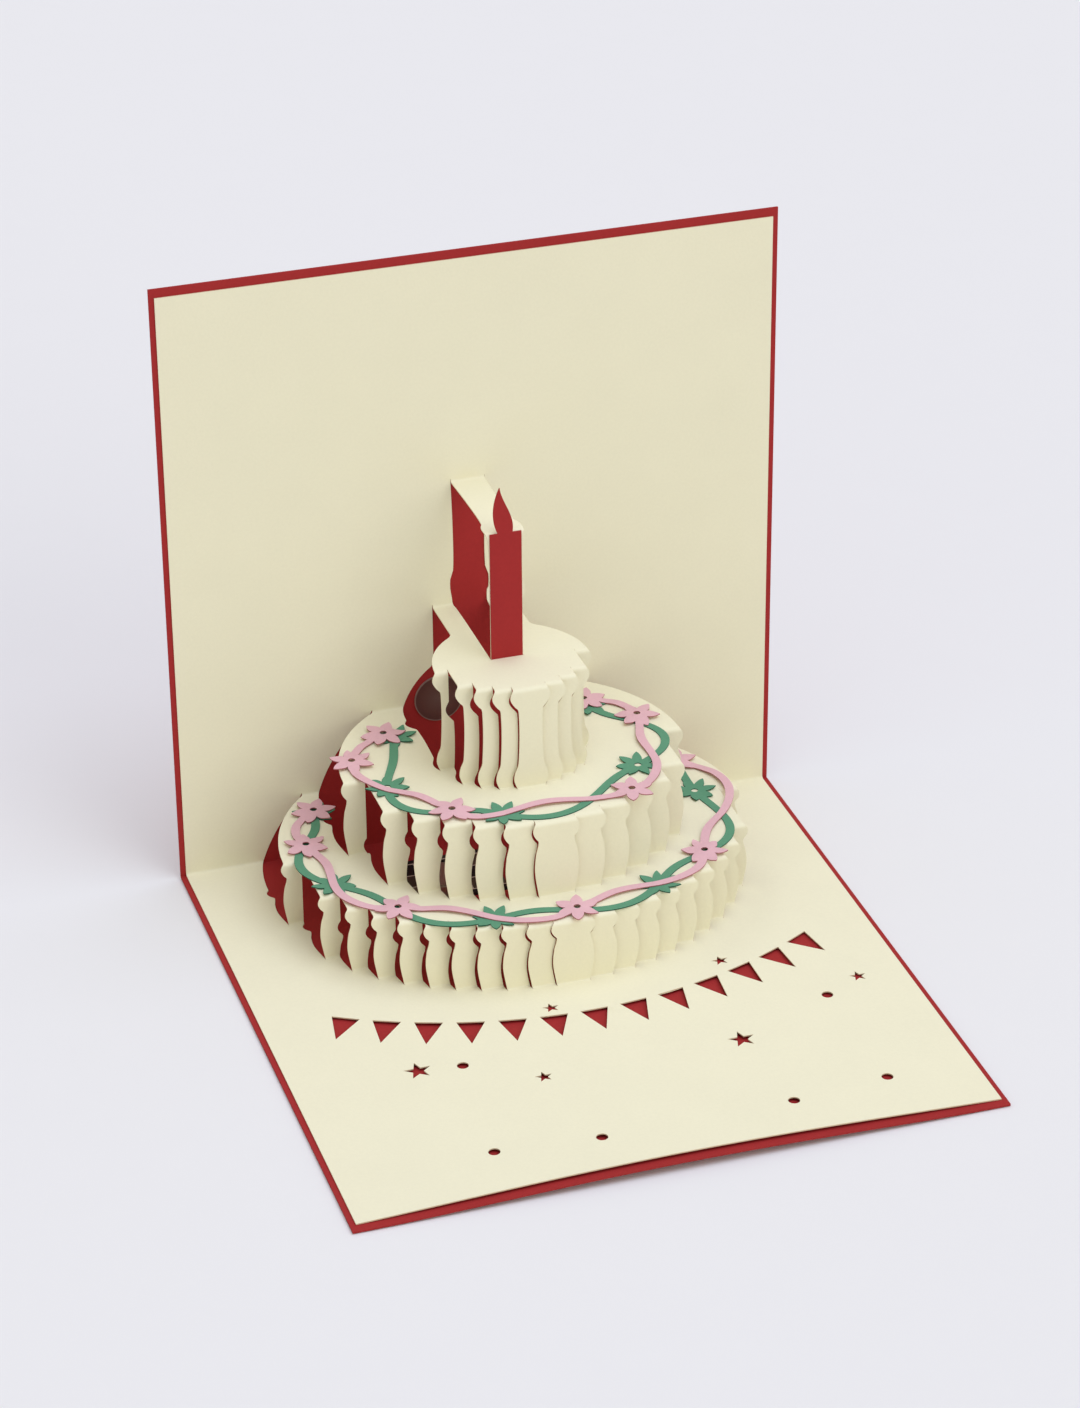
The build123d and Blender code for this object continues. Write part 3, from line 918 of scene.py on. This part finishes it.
def paper(name, colour, mottle, grain, roughness):
    """Matte paper: clouds and fibres tint its colour, and the fibres roughen its surface."""
    material, place, fibre = fibrous(name, grain, roughness)
    nodes, links = material.node_tree.nodes, material.node_tree.links
    cloud = add_noise(material, place, CLOUD_SCALE, CLOUD_DETAIL)
    both = nodes.new("ShaderNodeMix")
    both.data_type = "FLOAT"
    both.inputs["Factor"].default_value = FIBRE_SHARE
    links.new(cloud.outputs["Fac"], both.inputs["A"])
    links.new(fibre.outputs["Fac"], both.inputs["B"])
    ramp = nodes.new("ShaderNodeValToRGB")
    dark, pale = ramp.color_ramp.elements
    dark.position, pale.position = TINT_LOW, TINT_HIGH
    dark.color = (*[c * (1 - mottle) for c in colour], 1.0)
    pale.color = (*[min(c * (1 + mottle), 1.0) for c in colour], 1.0)
    links.new(both.outputs["Result"], ramp.inputs["Fac"])
    links.new(ramp.outputs["Color"], nodes["Principled BSDF"].inputs["Base Color"])
    return material


def metal(name, colour):
    """Satin metal with a mottled colour."""
    material = paper(name, colour, mottle=0.1, grain=0.2, roughness=0.4)
    material.node_tree.nodes["Principled BSDF"].inputs["Metallic"].default_value = CELL_METALLIC
    return material


def ringed(name, centre, radius, stops):
    """Disc whose colour follows the distance from its centre, as shares of its radius."""
    material, place, _ = fibrous(name, grain=0.2, roughness=0.4)
    nodes, links = material.node_tree.nodes, material.node_tree.links
    away = nodes.new("ShaderNodeVectorMath")
    away.operation = "DISTANCE"
    away.inputs[1].default_value = centre
    share = nodes.new("ShaderNodeMath")
    share.operation = "DIVIDE"
    share.inputs[1].default_value = radius
    ramp = nodes.new("ShaderNodeValToRGB")
    while len(ramp.color_ramp.elements) < len(stops):
        ramp.color_ramp.elements.new(1.0)
    for element, (position, colour) in zip(ramp.color_ramp.elements, stops):
        element.position = position
        element.color = (*colour, 1.0)
    links.new(place.outputs["Object"], away.inputs[0])
    links.new(away.outputs["Value"], share.inputs[0])
    links.new(share.outputs["Value"], ramp.inputs["Fac"])
    links.new(ramp.outputs["Color"], nodes["Principled BSDF"].inputs["Base Color"])
    return material


def circuit(name, base, part, line):
    """Dark board with small parts and thin pale lines between them."""
    material, place, _ = fibrous(name, grain=0.2, roughness=0.5)
    nodes, links = material.node_tree.nodes, material.node_tree.links
    brick = nodes.new("ShaderNodeTexBrick")
    brick.inputs["Scale"].default_value = BOARD_SCALE
    brick.inputs["Mortar Size"].default_value = BOARD_LINE_WIDTH
    brick.inputs["Bias"].default_value = BOARD_BIAS
    brick.inputs["Color1"].default_value = (*base, 1.0)
    brick.inputs["Color2"].default_value = (*part, 1.0)
    brick.inputs["Mortar"].default_value = (*line, 1.0)
    links.new(place.outputs["Object"], brick.inputs["Vector"])
    links.new(brick.outputs["Color"], nodes["Principled BSDF"].inputs["Base Color"])
    return material


def add_floor():
    """Plain pale floor just below the card."""
    r = FLOOR_REACH
    mesh = bpy.data.meshes.new("floor")
    mesh.from_pydata([(-r, -r, 0), (r, -r, 0), (r, r, 0), (-r, r, 0)], [], [(0, 1, 2, 3)])
    mesh.materials.append(paper("floor_paper", FLOOR_PAPER, mottle=0.004, grain=0.0, roughness=0.9))
    floor = bpy.data.objects.new("floor", mesh)
    floor.location = (0.0, 0.0, -FLOOR_DROP)
    bpy.context.scene.collection.objects.link(floor)


def add_dome():
    """Soft light from all round, warm from the sides and a little less so from above."""
    world = bpy.data.worlds.new("studio")
    bpy.context.scene.world = world
    world.use_nodes = True
    nodes, links = world.node_tree.nodes, world.node_tree.links
    direction = nodes.new("ShaderNodeTexCoord")
    parts = nodes.new("ShaderNodeSeparateXYZ")
    tint = nodes.new("ShaderNodeValToRGB")
    tint.color_ramp.elements[0].color = (*DOME_SIDES, 1.0)
    tint.color_ramp.elements[1].color = (*DOME_TOP, 1.0)
    links.new(direction.outputs["Generated"], parts.inputs["Vector"])
    links.new(parts.outputs["Z"], tint.inputs["Fac"])
    links.new(tint.outputs["Color"], nodes["Background"].inputs["Color"])
    nodes["Background"].inputs["Strength"].default_value = DOME_STRENGTH


def soft_light(name, direction, turn, power, colour):
    """Sun lamp that shines along a direction, as wide as its turn in degrees."""
    lamp = bpy.data.lights.new(name, "SUN")
    lamp.angle = math.radians(turn)
    lamp.energy = power
    lamp.color = colour
    holder = bpy.data.objects.new(name, lamp)
    holder.rotation_mode = "QUATERNION"
    holder.rotation_quaternion = Vector(direction).to_track_quat("-Z", "Y")
    bpy.context.scene.collection.objects.link(holder)


def add_camera():
    """Camera at the photograph's angle."""
    lens = bpy.data.cameras.new("camera")
    lens.sensor_width = SENSOR_WIDTH
    lens.lens = LENS
    camera = bpy.data.objects.new("camera", lens)
    turn = Matrix((CAMERA_RIGHT, CAMERA_UP, CAMERA_BACK)).transposed().to_4x4()
    camera.matrix_world = Matrix.Translation(CAMERA_PLACE) @ turn
    bpy.context.scene.collection.objects.link(camera)
    bpy.context.scene.camera = camera


cream = paper("cream_paper", CREAM, mottle=0.02, grain=0.2, roughness=0.9)
cut_edge = paper("cut_edge", CUT_EDGE, mottle=0.05, grain=0.2, roughness=0.9)
red = paper("red_card", RED, mottle=0.06, grain=0.3, roughness=0.8)
candle_red = paper("candle_card", RED, mottle=0.06, grain=0.3, roughness=0.8)
pink = paper("pink_paper", PINK, mottle=0.04, grain=0.25, roughness=0.85)
# Pink cut edges: painted shade for the flowers' holes and the lower edges
pink_edge_painted_shade = paper("pink_edge_painted_shade", PINK_EDGE_PAINTED_SHADE, mottle=0.04, grain=0.25, roughness=0.85)
green = paper("green_paper", GREEN, mottle=0.06, grain=0.25, roughness=0.85)
# Green cut edges: painted shade in the holes and along the lower edges of the leaves
green_edge_painted_shade = paper("green_edge_painted_shade", GREEN_EDGE_PAINTED_SHADE, mottle=0.06, grain=0.25, roughness=0.85)

# Pieces that stand for CAD nodes
new_piece("folded_cover", build_cover(), "cover", (red, red))
new_piece("folded_sheet", build_sheet(), "popup_sheet", (cream, cut_edge))
lower_green = green_garland(lower, LOWER_INSETS, LOWER_CROSSINGS, LOWER_SPRAYS)
new_piece("lower_sprays", lower_green, "lower_green_garland", (green, green_edge_painted_shade))
lower_pink = pink_garland(lower, LOWER_INSETS, LOWER_CROSSINGS, LOWER_FLOWERS)
new_piece("lower_flowers", lower_pink, "lower_pink_garland", (pink, pink_edge_painted_shade))
middle_green = green_garland(middle, MIDDLE_INSETS, MIDDLE_CROSSINGS, MIDDLE_SPRAYS)
new_piece("middle_sprays", middle_green, "middle_green_garland", (green, green_edge_painted_shade))
middle_pink = pink_garland(middle, MIDDLE_INSETS, MIDDLE_CROSSINGS, MIDDLE_FLOWERS)
new_piece("middle_flowers", middle_pink, "middle_pink_garland", (pink, pink_edge_painted_shade))

# CAD nodes that keep their solids
for node, material in (
    ("candle", candle_red),
    # The disc's colours are a painted reflection of the red card and a painted highlight on its rim
    ("sounder_disc", ringed("disc_metal", DISC_CENTRE, DISC_RADIUS, DISC_REFLECTION_AND_RIM_HIGHLIGHT)),
    ("sound_board", circuit("board_resist", BOARD_RESIST, BOARD_PART, BOARD_LINE)),
    ("button_cell", metal("cell_steel", CELL_STEEL)),
):
    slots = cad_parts[node].data.materials
    slots.clear()
    slots.append(material)

# Stage: a cool light from nearly overhead, and a warm one from the front right
add_floor()
add_dome()
soft_light("key", direction=(-0.25, 0.12, -1.0), turn=55.0, power=1.1, colour=(0.95, 1.01, 1.22))
soft_light("fill", direction=(-0.45, 0.85, -0.4), turn=40.0, power=0.55, colour=(1.0, 0.97, 0.88))
add_camera()
bpy.context.scene.view_settings.view_transform = "Standard"
